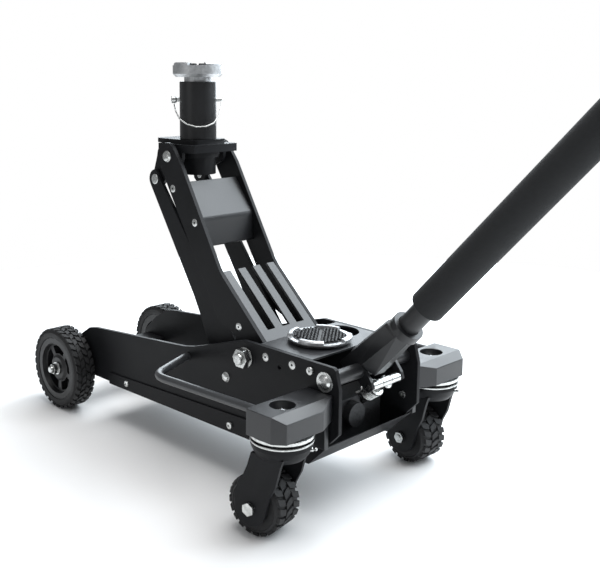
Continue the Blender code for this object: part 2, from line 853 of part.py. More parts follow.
def arm_lever():
    """Pivot tube of the arm with the two ears and cross pin the ram pushes."""
    tube = lathe_bm([
        (0.0, -PLATE_IN + GAP),
        (PIVOT_TUBE_R, -PLATE_IN + GAP),
        (PIVOT_TUBE_R, PLATE_IN - GAP),
        (0.0, PLATE_IN - GAP),
    ], 32)
    body = obj_from_bm("lever_tmp", along_y(tube), None)
    rest = math.radians(LEVER_REST_DEG)
    tip = (-LEVER_R * math.sin(rest), -LEVER_R * math.cos(rest))
    side = (math.cos(rest), -math.sin(rest))
    outline = []
    for p, q, r in ((0.0, 0.0, 0.0150), (tip[0], tip[1], 0.0130)):
        outline.append((p - side[0] * r, q - side[1] * r))
        outline.append((p + side[0] * r, q + side[1] * r))
    down = (-math.sin(rest), -math.cos(rest))
    end = []
    for i in range(9):
        t = math.pi * i / 8.0
        a = -math.cos(t) * 0.0130
        b = math.sin(t) * 0.0130
        end.append((tip[0] + side[0] * a + down[0] * b, tip[1] + side[1] * a + down[1] * b))
    shape = [outline[1], outline[0]] + end
    ears = []
    for lo, hi in ((LEVER_IN, LEVER_OUT), (-LEVER_OUT, -LEVER_IN)):
        ears.append(obj_from_bm("ear_tmp", prism_bm(shape, lo, hi, "Y"), None))
    pin = prism_bm(circle(tip[0], tip[1], RAM_PIN_R, 20), -LEVER_OUT + 0.002, LEVER_OUT - 0.002, "Y")
    ears.append(obj_from_bm("pin_tmp", pin, None))
    combine(body, ears, "UNION")
    bore = prism_bm(circle(0.0, 0.0, PIVOT_BOLT_R + GAP, 32), -0.12, 0.12, "Y")
    combine(body, [obj_from_bm("bore_tmp", bore, None)], "DIFFERENCE")
    out = bmesh.new()
    out.from_mesh(body.data)
    bpy.data.objects.remove(body, do_unlink=True)
    return out


soften(obj_from_bm("arm_lever", arm_lever(), IRON, ARM_AT), 35)


def arm_pivot_bolt():
    """Long bolt through both side plates that carries the arm."""
    shank = obj_from_bm("shank_tmp", along_y(lathe_bm([
        (0.0, -PLATE_OUT - 0.0215),
        (0.0085, -PLATE_OUT - 0.0215),
        (PIVOT_BOLT_R, -PLATE_OUT - 0.0200),
        (PIVOT_BOLT_R, PLATE_OUT + 0.0060),
        (0.0, PLATE_OUT + 0.0060),
    ], 24)), None)
    head = prism_bm(hexagon(0.0300, 15.0), PLATE_OUT + GAP, PLATE_OUT + 0.0128, "Y")
    combine(shank, [obj_from_bm("head_tmp", head, None)], "UNION")
    out = bmesh.new()
    out.from_mesh(shank.data)
    bpy.data.objects.remove(shank, do_unlink=True)
    return out


soften(obj_from_bm("arm_pivot_bolt", arm_pivot_bolt(), ZINC, ARM_AT), 35)
pivot_nut = mirror_y(along_y(nut_bm(0.0300, 0.0130, PIVOT_BOLT_R + GAP, 0.0175, 0.0020)))
obj_from_bm("arm_pivot_nut", pivot_nut, ZINC, (ARM_PIVOT[0], -PLATE_OUT - GAP, ARM_PIVOT[1]))


def button_bolt(head_r, head_h, shank_r, length, washer_r, washer_t):
    """Domed bolt: head outside towards +Y, shank towards -Y, washer face at Y = 0."""
    profile = [
        (0.0, -length),
        (shank_r - 0.0006, -length),
        (shank_r, -length + 0.0008),
        (shank_r, 0.0),
        (washer_r, 0.0),
        (washer_r, washer_t),
        (head_r, washer_t),
        (head_r * 0.80, washer_t + head_h * 0.70),
        (0.0, washer_t + head_h),
    ]
    return along_y(lathe_bm(profile, 16))


HEAD_AT = (ARM_PIVOT[0] + ARM_LENGTH * ARM_U[0], ARM_PIVOT[1] + ARM_LENGTH * ARM_U[1])


def arm_head_pin():
    """Domed pin joining an arm plate to the saddle bracket."""
    return button_bolt(0.0105, 0.0050, HEAD_PIN_R, ARM_OUT - 0.0500, 0.0110, 0.0010)


both_sides("arm_head_pin", arm_head_pin, ZINC, (HEAD_AT[0], ARM_OUT + GAP, HEAD_AT[1]), 40)


def link_pivot_bolt():
    """Small domed bolt carrying the lower end of a levelling link."""
    return button_bolt(0.0085, 0.0045, 0.0045, PLATE_OUT - 0.0550, 0.0090, 0.0008)


both_sides("link_pivot_bolt", link_pivot_bolt, ZINC, (LINK_PIVOT[0], PLATE_OUT + GAP, LINK_PIVOT[1]), 40)


def handle_pivot_bolt():
    """Domed pivot bolt of the handle yoke with its large washer."""
    return button_bolt(0.0120, 0.0070, 0.0060, PLATE_OUT - 0.0700, 0.0167, 0.0020)


both_sides("handle_pivot_bolt", handle_pivot_bolt, ZINC,
           (HANDLE_PIVOT[0], PLATE_OUT + GAP, HANDLE_PIVOT[1]), 40)

# ------------------------------------------------------------------ levelling links
LINK_AT = (LINK_PIVOT[0], 0.0, LINK_PIVOT[1])


def lift_link():
    """Levelling link that keeps the saddle level, wide at its lower end."""
    outline = arc(ARM_LENGTH, 0.0, 0.0190, 40.0, -90.0, 8)
    outline = outline + [(0.2900, -0.0285), (0.1750, -0.0380), (0.1300, -0.0450), (0.0850, -0.0560)]
    outline = outline + [(0.0350, -0.0560), (0.0, -0.0400), (-0.0140, -0.0150)]
    outline = outline + arc(0.0, 0.0, 0.0130, 210.0, 90.0, 5)
    outline = outline + [(ARM_LENGTH - 0.012, 0.0125)]
    holes = [arm_xz(circle(0.0, 0.0, 0.0048, 16)), arm_xz(circle(ARM_LENGTH, 0.0, 0.0078, 16))]
    return prism_bm(arm_xz(outline), LINK_IN, LINK_OUT, "Y", holes)


both_sides("lift_link", lift_link, COAT, LINK_AT)

# ------------------------------------------------------------------ saddle bracket
BRACKET_AT = (HEAD_AT[0], 0.0, HEAD_AT[1])
LINK_HEAD = (HEAD_AT[0] + LINK_OFFSET[0], HEAD_AT[1] + LINK_OFFSET[1])


def rounded_rect(x0, x1, y0, y1, r, count=4):
    """Rectangle outline with rounded corners."""
    pts = arc(x1 - r, y1 - r, r, 0.0, 90.0, count)
    pts = pts + arc(x0 + r, y1 - r, r, 90.0, 180.0, count)
    pts = pts + arc(x0 + r, y0 + r, r, 180.0, 270.0, count)
    pts = pts + arc(x1 - r, y0 + r, r, 270.0, 360.0, count)
    return pts


def saddle_bracket():
    """Bracket carrying the extension post: stepped top plates, cheeks and post socket."""
    hx, hz = HEAD_AT
    top = prism_bm(rounded_rect(0.204 - hx, 0.321 - hx, -0.042, 0.042, 0.012),
                   0.5715 - hz, BRACKET_TOP - hz, "Z")
    body = obj_from_bm("bracket_tmp", top, None)
    adds = []
    block = rounded_rect(0.228 - hx, 0.336 - hx, -0.0556, 0.0556, 0.004, 2)
    adds.append(obj_from_bm("block_tmp", prism_bm(block, 0.5570 - hz, 0.5718 - hz, "Z"), None))
    cheek = [(0.230, 0.5575), (0.2115, 0.5040), (0.2140, 0.4940), (0.2220, 0.4870), (0.2340, 0.4862)]
    cheek = cheek + [(0.2440, 0.4930), (0.2640, 0.5200), (0.2950, 0.5330), (0.3020, 0.5440)]
    cheek = cheek + [(0.3030, 0.5575)]
    cheek = [(x - hx, z - hz) for x, z in cheek]
    pins = [circle(0.0, 0.0, HEAD_PIN_R + GAP, 16)]
    pins.append(circle(LINK_OFFSET[0], LINK_OFFSET[1], 0.0073, 16))
    for lo, hi in ((0.0485, 0.0556), (-0.0556, -0.0485)):
        adds.append(obj_from_bm("cheek_tmp", prism_bm(cheek, lo, hi, "Y", pins), None))
    collar = shift(lathe_bm([(0.0, 0.5450), (0.0400, 0.5450), (0.0410, 0.5470), (0.0410, 0.5600), (0.0, 0.5600)],
                            28), (POST_X - hx, 0.0, -hz))
    adds.append(obj_from_bm("collar_tmp", collar, None))
    sleeve = shift(lathe_bm([(0.0, 0.5130), (0.0340, 0.5130), (0.0340, 0.5460), (0.0, 0.5460)], 28),
                   (POST_X - hx, 0.0, -hz))
    adds.append(obj_from_bm("sleeve_tmp", sleeve, None))
    combine(body, adds, "UNION")
    bore = prism_bm(circle(POST_X - hx, 0.0, STEM_R + 0.0006, 28, 5.0), 0.45 - hz, 0.65 - hz, "Z")
    combine(body, [obj_from_bm("bore_tmp", bore, None)], "DIFFERENCE")
    return body


bracket = saddle_bracket()
bracket.name = "saddle_bracket"
bracket.data.name = "saddle_bracket"
bracket.data.materials.clear()
bracket.data.materials.append(finish("saddle_bracket_finish", COAT[0], COAT[1], COAT[2]))
bracket.location = (BRACKET_AT[0] + SHIFT_X, 0.0, BRACKET_AT[2])
soften(bracket, 35)


def link_head_pin():
    """Flat rivet joining a levelling link to the bracket cheek."""
    profile = [
        (0.0, -0.0160),
        (0.0064, -0.0160),
        (0.0070, -0.0154),
        (0.0070, GAP),
        (0.0100, GAP),
        (0.0100, 0.0012),
        (0.0088, 0.0022),
        (0.0, 0.0024),
    ]
    return along_y(lathe_bm(profile, 20))


both_sides("link_head_pin", link_head_pin, ZINC, (LINK_HEAD[0], LINK_OUT, LINK_HEAD[1]), 40)


# ------------------------------------------------------------------ extension post and saddle
def extension_post():
    """Round extension post: thick column, stem in the bracket, bore for the saddle neck."""
    profile = [
        (0.0, 0.5150),
        (0.0280, 0.5150),
        (STEM_R, 0.5175),
        (STEM_R, BRACKET_TOP + GAP),
        (POST_R, BRACKET_TOP + GAP),
        (POST_R, POST_TOP - 0.0008),
        (POST_R - 0.0008, POST_TOP),
        (0.0265, POST_TOP),
        (0.0265, 0.6650),
        (0.0, 0.6650),
    ]
    post = obj_from_bm("post_tmp", lathe_bm(profile, 32), None)
    hole = prism_bm(circle(0.0, PIN_Z, 0.0043, 16), -0.05, 0.05, "Y")
    turn(hole, Matrix.Rotation(math.radians(PIN_TURN_DEG - 90.0), 4, "Z"))
    combine(post, [obj_from_bm("hole_tmp", hole, None)], "DIFFERENCE")
    out = bmesh.new()
    out.from_mesh(post.data)
    bpy.data.objects.remove(post, do_unlink=True)
    return out


soften(obj_from_bm("extension_post", extension_post(), COAT, (POST_X, 0.0, 0.0)), 35)


def lock_pin():
    """Zinc lock pin through the post, knurled head at the near end, cone tip at the far end."""
    profile = [
        (0.0, -0.0510),
        (0.0055, -0.0510),
        (0.0070, -0.0495),
        (0.0070, -0.0425),
        (0.0055, -0.0410),
        (0.0040, -0.0410),
        (0.0040, 0.0440),
        (0.0022, 0.0478),
        (0.0, 0.0482),
    ]
    bm = along_y(lathe_bm(profile, 16))
    return turn(bm, Matrix.Rotation(math.radians(PIN_TURN_DEG - 90.0), 4, "Z"))


obj_from_bm("lock_pin", lock_pin(), ZINC, (POST_X, 0.0, PIN_Z), 40)


def lock_pin_hoop():
    """Sprung wire hoop hanging from the pin head, round the post and up to the pin tip."""
    knots = [
        (-0.0452, 0.0000, -0.0088),
        (-0.0445, 0.0060, -0.0120),
        (-0.0415, 0.0170, -0.0220),
        (-0.0340, 0.0290, -0.0350),
        (-0.0200, 0.0370, -0.0450),
        (-0.0020, 0.0405, -0.0500),
        (0.0160, 0.0385, -0.0495),
        (0.0310, 0.0315, -0.0430),
        (0.0400, 0.0210, -0.0310),
        (0.0440, 0.0100, -0.0160),
        (0.0450, 0.0015, -0.0060),
    ]
    pts = []
    for i in range(len(knots) - 1):
        p0 = Vector(knots[max(i - 1, 0)])
        p1 = Vector(knots[i])
        p2 = Vector(knots[i + 1])
        p3 = Vector(knots[min(i + 2, len(knots) - 1)])
        for s in (0.0,):
            a = p1 * 2.0
            b = (p2 - p0) * s
            c = (p0 * 2.0 - p1 * 5.0 + p2 * 4.0 - p3) * s * s
            d = (p1 * 3.0 - p0 - p2 * 3.0 + p3) * s * s * s
            pts.append((a + b + c + d) * 0.5)
    pts.append(Vector(knots[-1]))
    bm = wire_bm([(q.y, q.x, q.z) for q in pts], 0.0014, 8)
    return turn(bm, Matrix.Rotation(math.radians(PIN_TURN_DEG - 90.0), 4, "Z"))


obj_from_bm("lock_pin_hoop", lock_pin_hoop(), ZINC, (POST_X, 0.0, PIN_Z), 40)


def notched_saddle(name, radius, inner, base, floor, rim, notch, stem_r, stem_z, turn_deg, location):
    """Cast saddle cup: dished floor, raised rim with four notches, round stem below."""
    profile = [
        (0.0, stem_z),
        (stem_r - 0.0008, stem_z),
        (stem_r, stem_z + 0.0008),
        (stem_r, base),
        (radius - 0.0060, base),
        (radius, base + 0.0060),
        (radius, rim - 0.0025),
        (radius - 0.0025, rim),
        (inner, rim),
        (inner, floor),
        (0.0, floor),
    ]
    cup = obj_from_bm("cup_tmp", lathe_bm(profile, 32), None)
    cutters = bmesh.new()
    for k in range(4):
        mid = turn_deg + 90.0 * k
        outline = arc(0.0, 0.0, radius + 0.01, mid - 22.0, mid + 22.0, 2)
        outline = outline + arc(0.0, 0.0, inner - 0.004, mid + 20.0, mid - 20.0, 2)
        part = prism_bm(outline, notch, rim + 0.01, "Z")
        part_mesh = bpy.data.meshes.new("notch_tmp")
        part.to_mesh(part_mesh)
        part.free()
        cutters.from_mesh(part_mesh)
        bpy.data.meshes.remove(part_mesh)
    combine(cup, [obj_from_bm("notches_tmp", cutters, None)], "DIFFERENCE")
    out = bmesh.new()
    out.from_mesh(cup.data)
    bpy.data.objects.remove(cup, do_unlink=True)
    return soften(obj_from_bm(name, out, CAST, location), 35)


def saddle_pad(name, radius, low, high, groove, turn_deg, location):
    """Rubber insert with one straight groove across its middle."""
    disc = obj_from_bm("pad_tmp", prism_bm(circle(0.0, 0.0, radius, 32), low, high, "Z"), None)
    cut = box_bm(-0.08, 0.08, -groove, groove, high - 0.003, high + 0.01)
    turn(cut, Matrix.Rotation(math.radians(turn_deg), 4, "Z"))
    combine(disc, [obj_from_bm("groove_tmp", cut, None)], "DIFFERENCE")
    out = bmesh.new()
    out.from_mesh(disc.data)
    bpy.data.objects.remove(disc, do_unlink=True)
    return soften(obj_from_bm(name, out, RUBBER, location), 35)


notched_saddle("saddle", SADDLE_R, 0.0385, SADDLE_BASE, SADDLE_BASE + 0.0120, SADDLE_TOP,
               SADDLE_TOP - 0.0055, 0.0262, 0.6660, NOTCH_TURN_DEG, (POST_X, 0.0, 0.0))
saddle_pad("saddle_pad", 0.0382, SADDLE_BASE + 0.0123, SADDLE_TOP - 0.0020, 0.0040, NOTCH_TURN_DEG,
           (POST_X, 0.0, 0.0))

SPARE_BASE = TOP_Z + GAP
notched_saddle("spare_saddle", SPARE_R, 0.0470, SPARE_BASE, SPARE_BASE + 0.0045, SPARE_BASE + 0.0135,
               SPARE_BASE + 0.0085, 0.0160, 0.2360, -20.0, (SPARE_X, SPARE_Y, 0.0))
saddle_pad("spare_saddle_pad", 0.0467, SPARE_BASE + 0.0048, SPARE_BASE + 0.0120, 0.0030, -52.0,
           (SPARE_X, SPARE_Y, 0.0))


# ------------------------------------------------------------------ hydraulic ram
def pump_line(s, y=PUMP_Y):
    """Point on the pump axis, s metres from the roller centre towards the handle."""
    a = math.radians(PUMP_DEG)
    rx = HANDLE_PIVOT[0] + ROLLER_ARM * math.sin(math.radians(ROLLER_DEG))
    rz = HANDLE_PIVOT[1] - ROLLER_ARM * math.cos(math.radians(ROLLER_DEG))
    return (rx + s * math.cos(a), y, rz + s * math.sin(a))


def pump_block():
    """Cast power unit body bored for the ram cylinder and the inclined pump cylinder."""
    body = obj_from_bm("pump_tmp", box_bm(0.628, 0.676, -0.060, 0.080, 0.0868, 0.166), None)
    cuts = []
    ram = along_x(lathe_bm([(0.0, -0.05), (RAM_CYL_R + GAP, -0.05), (RAM_CYL_R + GAP, 0.1), (0.0, 0.1)],
                           32))
    cuts.append(obj_from_bm("cut_tmp", shift(ram, (0.62, 0.0, RAM_Z)), None))
    bore = along_dir(lathe_bm([(0.0, -0.1002), (0.0123, -0.1002), (0.0123, 0.01), (0.0, 0.01)], 24),
                     PUMP_DEG)
    cuts.append(obj_from_bm("cut_tmp", shift(bore, pump_line(0.0)), None))
    combine(body, cuts, "DIFFERENCE")
    out = bmesh.new()
    out.from_mesh(body.data)
    bpy.data.objects.remove(body, do_unlink=True)
    return out


soften(obj_from_bm("pump_block", pump_block(), IRON), 30)

ram_cylinder = along_x(lathe_bm([
    (RAM_ROD_R + GAP, 0.0),
    (RAM_CYL_R, 0.0),
    (RAM_CYL_R, RAM_CYL_X1 - RAM_CYL_X0),
    (0.0, RAM_CYL_X1 - RAM_CYL_X0),
    (0.0, RAM_CYL_X1 - RAM_CYL_X0 - 0.003),
    (RAM_ROD_R + GAP, RAM_CYL_X1 - RAM_CYL_X0 - 0.003),
], 32, ring=True))
obj_from_bm("ram_cylinder", ram_cylinder, IRON, (RAM_CYL_X0, 0.0, RAM_Z), 40)


def ram_piston():
    """Ram rod with a slotted head round the lever's cross pin."""
    head = [(-0.0138, -0.0200), (0.0138, -0.0200), (0.0138, 0.0230), (-0.0138, 0.0230)]
    w = RAM_PIN_R + 0.0013
    slot = [(-w, -0.0130), (w, -0.0130), (w, 0.0170), (-w, 0.0170)]
    body = obj_from_bm("ram_tmp", prism_bm(head, -0.0120, 0.0120, "Y", [slot]), None)
    rod = along_x(lathe_bm([(0.0, 0.0110), (0.0105, 0.0110), (0.0115, 0.0160), (RAM_ROD_R, 0.0180),
                            (RAM_ROD_R, 0.1115), (0.0, 0.1115)], 24))
    combine(body, [obj_from_bm("rod_tmp", rod, None)], "UNION")
    out = bmesh.new()
    out.from_mesh(body.data)
    bpy.data.objects.remove(body, do_unlink=True)
    return out


RAM_X = ARM_PIVOT[0] - RAM_RATIO * math.radians(LEVER_REST_DEG)
soften(obj_from_bm("ram_piston", ram_piston(), ZINC, (RAM_X, 0.0, RAM_Z)), 35)

# ------------------------------------------------------------------ handle yoke, pump and handle
YOKE_AT = (HANDLE_PIVOT[0], 0.0, HANDLE_PIVOT[1])


def handle_yoke():
    """Yoke turning between the side plates: barrel, folded socket with collar, and roller lugs."""
    barrel = lathe_bm([(0.0, -BARREL_END), (BARREL_R, -BARREL_END), (BARREL_R, BARREL_END),
                       (0.0, BARREL_END)], 28)
    body = obj_from_bm("yoke_tmp", along_y(barrel), None)
    adds = []
    lean = Matrix.Rotation(math.radians(90.0 - HANDLE_DEG), 4, "Y")
    half = SOCKET_HALF
    loft = bmesh.new()
    rows = []
    for s in (0.0110, SOCKET_END):
        top = 0.0206 + (0.1000 - s) * 0.1041
        low = -0.0060 + (0.1000 - s) * 0.0955
        base = 0.0085 + (SOCKET_END - s) * 0.0368
        ring = [(top + 0.0040, -0.0200), (top + 0.0040, 0.0200), (top, half), (low, half)]
        ring = ring + [(-0.0213, base), (-0.0213, -base), (low, -half), (top, -half)]
        rows.append([loft.verts.new((-n, y, s)) for n, y in ring])
    for k in range(8):
        j = (k + 1) % 8
        loft.faces.new((rows[0][k], rows[0][j], rows[1][j], rows[1][k]))
    loft.faces.new(rows[0])
    loft.faces.new(rows[1])
    bmesh.ops.triangulate(loft, faces=loft.faces)
    bmesh.ops.recalc_face_normals(loft, faces=loft.faces)
    adds.append(obj_from_bm("socket_tmp", turn(loft, lean), None))
    tail = [(-0.0206, 0.1000), (-0.0333, SOCKET_TAIL), (-0.0064, SOCKET_TAIL), (-0.0025, 0.0110),
            (0.0060, 0.1000)]
    adds.append(obj_from_bm("tail_tmp", turn(prism_bm(tail, -half - 0.0003, half + 0.0003, "Y"), lean),
                            None))
    collar = lathe_bm([(0.0, SOCKET_END - 0.003), (COLLAR_R, SOCKET_END - 0.003), (COLLAR_R, COLLAR_END),
                       (0.0, COLLAR_END)], 32)
    adds.append(obj_from_bm("collar_tmp", turn(collar, lean), None))
    a = math.radians(ROLLER_DEG)
    rx = ROLLER_ARM * math.sin(a)
    rz = -ROLLER_ARM * math.cos(a)
    nx = math.cos(a)
    nz = math.sin(a)
    lug = [(nx * 0.013, nz * 0.013), (-nx * 0.013, -nz * 0.013)]
    lug = lug + [(rx * 0.92 - nx * 0.0105, rz * 0.92 - nz * 0.0105), (rx * 1.24 - nx * 0.006,
                                                                      rz * 1.24 - nz * 0.006)]
    lug = lug + [(rx * 1.24 + nx * 0.006, rz * 1.24 + nz * 0.006), (rx * 0.92 + nx * 0.0105,
                                                                    rz * 0.92 + nz * 0.0105)]
    hole = [circle(rx, rz, 0.0045, 14)]
    reach = ROLLER_HALF + 0.0005
    for lo, hi in ((ROLLER_Y + reach, ROLLER_Y + reach + 0.006), (ROLLER_Y - reach - 0.006,
                                                                  ROLLER_Y - reach)):
        adds.append(obj_from_bm("lug_tmp", prism_bm(lug, lo, hi, "Y", hole), None))
    combine(body, adds, "UNION")
    cuts = []
    bore = prism_bm(circle(0.0, 0.0, HANDLE_R + 0.0006, 28, 6.0), 0.0215, 0.2000, "Z")
    cuts.append(obj_from_bm("cut_tmp", turn(bore, lean), None))
    for lo, hi in ((0.0680, 0.1200), (-0.1200, -0.0680)):
        cuts.append(obj_from_bm("cut_tmp", prism_bm(circle(0.0, 0.0, 0.0063, 18), lo, hi, "Y"), None))
    combine(body, cuts, "DIFFERENCE")
    out = bmesh.new()
    out.from_mesh(body.data)
    bpy.data.objects.remove(body, do_unlink=True)
    return out


soften(obj_from_bm("handle_yoke", handle_yoke(), COAT_GREY, YOKE_AT), 30)

roller_xz = (ROLLER_ARM * math.sin(math.radians(ROLLER_DEG)),
             -ROLLER_ARM * math.cos(math.radians(ROLLER_DEG)))


def pump_roller():
    """Zinc roller on its pin between the yoke lugs."""
    half = ROLLER_HALF
    profile = [
        (0.0, -half - 0.0085),
        (0.0042, -half - 0.0085),
        (0.0042, -half),
        (ROLLER_R, -half),
        (ROLLER_R, half),
        (0.0042, half),
        (0.0042, half + 0.0085),
        (0.0, half + 0.0085),
    ]
    return shift(along_y(lathe_bm(profile, 16)), (roller_xz[0], ROLLER_Y, roller_xz[1]))


obj_from_bm("pump_roller", pump_roller(), ZINC, YOKE_AT, 40)

pump_cylinder = along_dir(lathe_bm([
    (PLUNGER_R + GAP, -0.0362),
    (0.0145, -0.0362),
    (0.0145, -0.0395),
    (0.0120, -0.0410),
    (0.0120, -0.1000),
    (0.0, -0.1000),
    (0.0, -0.0970),
    (PLUNGER_R + GAP, -0.0970),
], 24, ring=True), PUMP_DEG)
obj_from_bm("pump_cylinder", pump_cylinder, ZINC, pump_line(0.0), 40)

plunger_top = -ROLLER_R - 0.0012
pump_plunger = along_dir(lathe_bm([
    (0.0, plunger_top),
    (0.0100, plunger_top),
    (0.0118, plunger_top - 0.0015),
    (0.0118, plunger_top - 0.0040),
    (PLUNGER_R, plunger_top - 0.0050),
    (PLUNGER_R, -0.0740),
    (0.0, -0.0740),
], 24), PUMP_DEG)
obj_from_bm("pump_plunger", pump_plunger, ZINC, pump_line(0.0), 40)

handle_tube = along_dir(lathe_bm([
    (0.0, 0.0240),
    (HANDLE_R - 0.0008, 0.0240),
    (HANDLE_R, 0.0248),
    (HANDLE_R, HANDLE_END),
    (0.0, HANDLE_END),
], 32), HANDLE_DEG)
obj_from_bm("handle_tube", handle_tube, COAT, YOKE_AT, 40)

handle_foam = along_dir(lathe_bm([
    (HANDLE_R + GAP, FOAM_START),
    (FOAM_R - 0.0015, FOAM_START),
    (FOAM_R, FOAM_START + 0.0015),
    (FOAM_R, FOAM_END - 0.0015),
    (FOAM_R - 0.0015, FOAM_END),
    (HANDLE_R + GAP, FOAM_END),
], 32, ring=True), HANDLE_DEG)
obj_from_bm("handle_foam", handle_foam, FOAM, YOKE_AT, 40)
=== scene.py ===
"""Looks of the raised off-road trolley jack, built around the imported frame."""

import json
import math

import bmesh
import bpy
from mathutils import Matrix, Vector

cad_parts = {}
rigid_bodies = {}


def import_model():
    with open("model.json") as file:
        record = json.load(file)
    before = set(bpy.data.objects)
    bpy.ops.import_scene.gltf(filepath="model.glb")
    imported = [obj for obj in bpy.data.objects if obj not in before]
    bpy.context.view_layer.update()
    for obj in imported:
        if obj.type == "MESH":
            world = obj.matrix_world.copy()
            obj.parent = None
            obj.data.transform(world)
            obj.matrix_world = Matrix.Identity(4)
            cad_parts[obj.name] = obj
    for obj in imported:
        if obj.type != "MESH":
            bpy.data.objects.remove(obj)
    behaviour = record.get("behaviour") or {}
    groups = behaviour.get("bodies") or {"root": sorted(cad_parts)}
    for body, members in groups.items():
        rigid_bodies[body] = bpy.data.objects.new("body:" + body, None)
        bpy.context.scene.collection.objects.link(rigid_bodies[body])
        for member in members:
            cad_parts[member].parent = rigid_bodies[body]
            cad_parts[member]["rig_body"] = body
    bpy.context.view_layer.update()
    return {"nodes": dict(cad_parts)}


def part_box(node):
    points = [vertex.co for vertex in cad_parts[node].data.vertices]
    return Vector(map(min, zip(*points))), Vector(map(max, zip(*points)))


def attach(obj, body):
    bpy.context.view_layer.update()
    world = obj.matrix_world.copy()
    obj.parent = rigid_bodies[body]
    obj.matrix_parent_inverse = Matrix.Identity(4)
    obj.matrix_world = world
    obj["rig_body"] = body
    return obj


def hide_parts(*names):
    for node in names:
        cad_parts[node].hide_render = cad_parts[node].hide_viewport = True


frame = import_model()
SCENE = bpy.context.scene.collection

# ------------------------------------------------------------------ places, from the frame
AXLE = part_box("front_axle")
SHIFT_X = 0.5 * (AXLE[0].x + AXLE[1].x)
ARM_PIVOT = (0.530, 0.225)
ARM_DEG = 52.43
ARM_U = (-math.cos(math.radians(ARM_DEG)), math.sin(math.radians(ARM_DEG)))
ARM_V = (ARM_U[1], -ARM_U[0])
# Half widths over the chassis plates and the arm plates, and how far a screw head sinks in.
PLATE_OUT = 0.1055
ARM_OUT = 0.073
SCREW_SINK = 0.0002
CASTER_YAWS = (("left", 9.9), ("right", -4.0))

# The part of a noise value that the finishes use.
NOISE_LOW = 0.3
NOISE_HIGH = 0.7
# How clean_copy joins a frame mesh up again, and which edges get softened.
JOIN_DIST = 0.00002
FLAT_DEG = 0.6
BEVEL_FROM_DEG = 32.0


# ------------------------------------------------------------------ materials
def tree(name):
    """A new material, its node tree and its shader."""
    mat = bpy.data.materials.new(name)
    mat.use_nodes = True
    nt = mat.node_tree
    shader = nt.nodes["Principled BSDF"]
    return mat, nt, shader


def node(nt, kind, **values):
    """Adds a node and sets its inputs by name."""
    made = nt.nodes.new(kind)
    for key, value in values.items():
        made.inputs[key.replace("_", " ")].default_value = value
    return made


def spread(nt, source, low, high):
    """Maps a noise value onto a range."""
    remap = node(nt, "ShaderNodeMapRange")
    remap.inputs["From Min"].default_value = NOISE_LOW
    remap.inputs["From Max"].default_value = NOISE_HIGH
    remap.inputs["To Min"].default_value = low
    remap.inputs["To Max"].default_value = high
    nt.links.new(source, remap.inputs["Value"])
    return remap.outputs["Result"]


def two_tone(nt, source, dark, light):
    """Colour between two tones by a noise value."""
    ramp = nt.nodes.new("ShaderNodeValToRGB")
    ramp.color_ramp.elements[0].position = NOISE_LOW
    ramp.color_ramp.elements[0].color = (*dark, 1.0)
    ramp.color_ramp.elements[1].position = NOISE_HIGH
    ramp.color_ramp.elements[1].color = (*light, 1.0)
    nt.links.new(source, ramp.inputs["Fac"])
    return ramp.outputs["Color"]


def relief(nt, shader, source, strength, distance):
    """Surface relief from a height value."""
    bump = node(nt, "ShaderNodeBump", Strength=strength, Distance=distance)
    nt.links.new(source, bump.inputs["Height"])
    nt.links.new(bump.outputs["Normal"], shader.inputs["Normal"])


def coords(nt):
    """Object coordinates."""
    return nt.nodes.new("ShaderNodeTexCoord").outputs["Object"]


def grain(nt, where, scale, detail, rough):
    """A noise value."""
    noise = node(nt, "ShaderNodeTexNoise", Scale=scale, Detail=detail, Roughness=rough)
    nt.links.new(where, noise.inputs["Vector"])
    return noise.outputs["Fac"]


def coat(name, dark, light, rough_lo, rough_hi, orange_peel, spec=0.5):
    """Powder coat: faint orange peel, cloudy tone and gloss."""
    mat, nt, shader = tree(name)
    where = coords(nt)
    cloud = grain(nt, where, 14.0, 4.0, 0.6)
    fine = grain(nt, where, 900.0, 2.0, 0.5)
    nt.links.new(two_tone(nt, cloud, dark, light), shader.inputs["Base Color"])
    nt.links.new(spread(nt, cloud, rough_lo, rough_hi), shader.inputs["Roughness"])
    shader.inputs["Specular IOR Level"].default_value = spec
    relief(nt, shader, fine, orange_peel, 0.0004)
    return mat


def metal(name, dark, light, rough_lo, rough_hi, scale, depth, metallic=1.0):
    """Plated or cast metal with a soft grain."""
    mat, nt, shader = tree(name)
    where = coords(nt)
    cloud = grain(nt, where, scale, 5.0, 0.6)
    fine = grain(nt, where, scale * 9.0, 3.0, 0.6)
    nt.links.new(two_tone(nt, cloud, dark, light), shader.inputs["Base Color"])
    nt.links.new(spread(nt, fine, rough_lo, rough_hi), shader.inputs["Roughness"])
    shader.inputs["Metallic"].default_value = metallic
    relief(nt, shader, fine, depth, 0.0005)
    return mat


def rubber(name, dark, light, rough, scale, depth):
    """Rubber, moulded plastic or foam."""
    mat, nt, shader = tree(name)
    where = coords(nt)
    cloud = grain(nt, where, 30.0, 4.0, 0.6)
    fine = grain(nt, where, scale, 3.0, 0.6)
    nt.links.new(two_tone(nt, cloud, dark, light), shader.inputs["Base Color"])
    nt.links.new(spread(nt, cloud, rough - 0.06, rough + 0.06), shader.inputs["Roughness"])
    shader.inputs["Specular IOR Level"].default_value = 0.4
    relief(nt, shader, fine, depth, 0.0006)
    return mat


